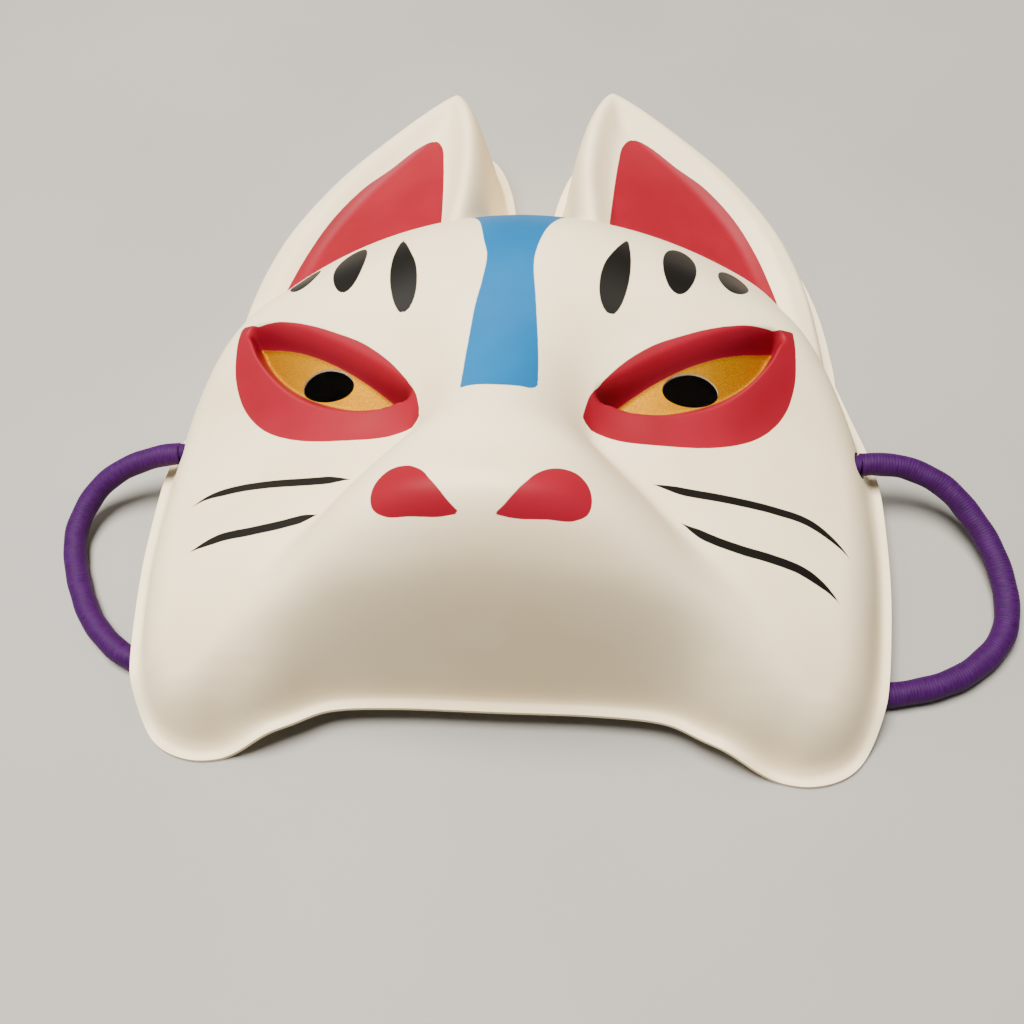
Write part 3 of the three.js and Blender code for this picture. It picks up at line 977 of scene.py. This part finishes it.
def painted_sheet():
    """White plastic with the paint in layers, a glittering gold, and painted shade darkening the red in the
    groove above each eye.
    """
    n = Nodes("painted")
    wobble = n.math("MULTIPLY_ADD", n.noise(700, 2), EDGE_WOBBLE, -EDGE_WOBBLE / 2)

    def layer(name, soft=PAINT_EDGE):
        """Where a patch covers the sheet."""
        edge = n.math("ADD", n.attribute(name), wobble)
        return n.ramp(edge, soft, -soft)

    def whisker(name):
        """Where a brush stroke covers the sheet."""
        gap = n.math("SUBTRACT", n.math("ABSOLUTE", n.attribute(name)), n.attribute(name + "_half"))
        return n.ramp(n.math("ADD", gap, wobble), WHISKER_SOFT, -WHISKER_SOFT)

    def toned(colour, other):
        """A paint that is a little uneven."""
        return n.blend(n.ramp(n.noise(45, 4), 0.35, 0.65), srgb(*colour), srgb(*other))

    white = toned(*WHITE)
    blue = toned(*BLUE)
    red = toned(*RED)
    gold = n.blend(n.ramp(n.noise(7000, 2, 0.6), 0.42, 0.66), srgb(*GOLD[0]), srgb(*GOLD[1]))
    black = toned(*BLACK)

    # Painted shade: the eye's red is darkened in a band just above the gold, where the upper lid's slope
    # falls into shade
    above_eye = n.ramp(n.attribute("lid_side"), -0.5, 1.5)
    painted_groove_shade = n.math("MULTIPLY", n.ramp(n.attribute("gold"), 2.2, 0.1), above_eye)
    red_eye = n.blend(n.math("MULTIPLY", painted_groove_shade, 0.7), red, srgb(*RED_GROOVE_SHADE))
    is_gold = layer("gold", GOLD_SOFT)
    dots = n.math("MAXIMUM", layer("leaf"), layer("ovals"))
    is_black = n.math("MAXIMUM", dots, n.math("MAXIMUM", whisker("whisker_upper"), whisker("whisker_lower")))
    is_eye = layer("eye_red")
    is_red = n.math("MAXIMUM", layer("ear_red"), layer("nostril"))
    colour = n.blend(layer("stripe"), white, blue)
    colour = n.blend(is_eye, colour, red_eye)
    colour = n.blend(is_red, colour, red)
    colour = n.blend(is_gold, colour, gold)
    colour = n.blend(is_black, colour, black)

    fine = n.noise(1500, 3)
    flakes = n.noise(8000, 1)
    rough = n.math("MULTIPLY_ADD", n.noise(60, 3), 0.12, 0.48)
    rough = n.math("ADD", rough, n.math("MULTIPLY", is_eye, 0.04))
    rough = n.math("ADD", rough, n.math("MULTIPLY", is_gold, 0.08))
    grain = n.bump(fine, 0.10, 0.0001)
    sparkle = n.bump(n.math("MULTIPLY", flakes, is_gold), 0.5, 0.0001, grain)
    n.finish(Base_Color=colour, Roughness=rough, Metallic=n.math("MULTIPLY", is_gold, 0.85), Normal=sparkle)
    n.shader.inputs["Specular IOR Level"].default_value = 0.18
    return n.material


def bare_sheet():
    """The plastic as it is on the inside."""
    n = Nodes("bare")
    tone = n.blend(n.ramp(n.noise(30, 4), 0.35, 0.65), srgb(*BARE_WHITE[0]), srgb(*BARE_WHITE[1]))
    rough = n.math("MULTIPLY_ADD", n.noise(80, 3), 0.14, 0.42)
    n.finish(Base_Color=tone, Roughness=rough, Normal=n.bump(n.noise(700, 4), 0.16, 0.0002))
    return n.material


def wound_thread():
    """Purple thread; its fibres are much finer across than along it."""
    n = Nodes("wound_thread")
    uv = n.add("ShaderNodeUVMap", uv_map="UVMap").outputs[0]
    fibres = n.add("ShaderNodeMapping")
    n.put(fibres.inputs["Vector"], uv)
    fibres.inputs["Scale"].default_value = (6, 2600, 1)
    strands = n.noise(1.0, 3, 0.6, fibres.outputs[0])
    patches = n.noise(260, 3)
    tone = n.blend(n.ramp(strands, 0.3, 0.72), srgb(*PURPLE[0]), srgb(*PURPLE[1]))
    tone = n.blend(n.ramp(patches, 0.4, 0.7, 0.0, 0.35), tone, srgb(*DULL_PURPLE))
    rough = n.math("MULTIPLY_ADD", strands, 0.25, 0.5)
    n.finish(Base_Color=tone, Roughness=rough, Normal=n.bump(strands, 0.45, 0.0002))
    n.shader.inputs["Specular IOR Level"].default_value = 0.2
    n.shader.inputs["Sheen Weight"].default_value = 0.05
    n.shader.inputs["Sheen Roughness"].default_value = 0.4
    n.shader.inputs["Sheen Tint"].default_value = srgb(*PURPLE_SHEEN)
    return n.material


def pale_floor():
    n = Nodes("pale_floor")
    tone = n.blend(n.ramp(n.noise(9, 5), 0.3, 0.7), srgb(*FLOOR_GREY[0]), srgb(*FLOOR_GREY[1]))
    n.finish(Base_Color=tone, Roughness=0.7, Normal=n.bump(n.noise(420, 4), 0.08, 0.0003))
    return n.material


def dress(piece, *materials):
    piece.data.materials.clear()
    for m in materials:
        piece.data.materials.append(m)


kinds = np.empty(len(shell.data.polygons), np.int32)
shell.data.polygons.foreach_get("material_index", kinds)
dress(shell, painted_sheet(), bare_sheet())
shell.data.polygons.foreach_set("material_index", np.minimum(kinds, BARE))
thread = wound_thread()
for piece in (cord, *knots):
    dress(piece, thread)


# What rides on the frame

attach(shell, "root")
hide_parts("mask_shell")
for piece in (cord, *knots):
    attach(piece, "root")
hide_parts("elastic_cord")


# Floor and light

FLOOR_HALF = 3  # metres from the middle to each side
WORLD_COLOUR = (1.0, 0.98, 0.95, 1)
WORLD_STRENGTH = 0.13


def make_floor():
    bm = bmesh.new()
    bmesh.ops.create_grid(bm, x_segments=1, y_segments=1, size=FLOOR_HALF)
    floor = add_object("table_top", mesh_from(bm, "table_top"))
    dress(floor, pale_floor())


def area_light(name, place, size, power, colour):
    """A round panel that shines on the mask."""
    data = bpy.data.lights.new(name, "AREA")
    data.shape = "DISK"
    data.size = size
    data.energy = power
    data.color = colour
    light = bpy.data.objects.new(name, data)
    light.location = place
    light.rotation_euler = (-Vector(place)).to_track_quat("-Z", "Y").to_euler()
    bpy.context.scene.collection.objects.link(light)


make_floor()
area_light("ceiling_panel", place=(-0.15, 0.02, 0.9), size=0.5, power=28.0, colour=(1.0, 0.955, 0.87))
area_light("room_fill", place=(-0.8, 0.1, 0.6), size=0.9, power=2.0, colour=(1.0, 0.97, 0.93))
room = bpy.data.worlds.new("room")
room.use_nodes = True
background = room.node_tree.nodes["Background"]
background.inputs["Color"].default_value = WORLD_COLOUR
background.inputs["Strength"].default_value = WORLD_STRENGTH
bpy.context.scene.world = room
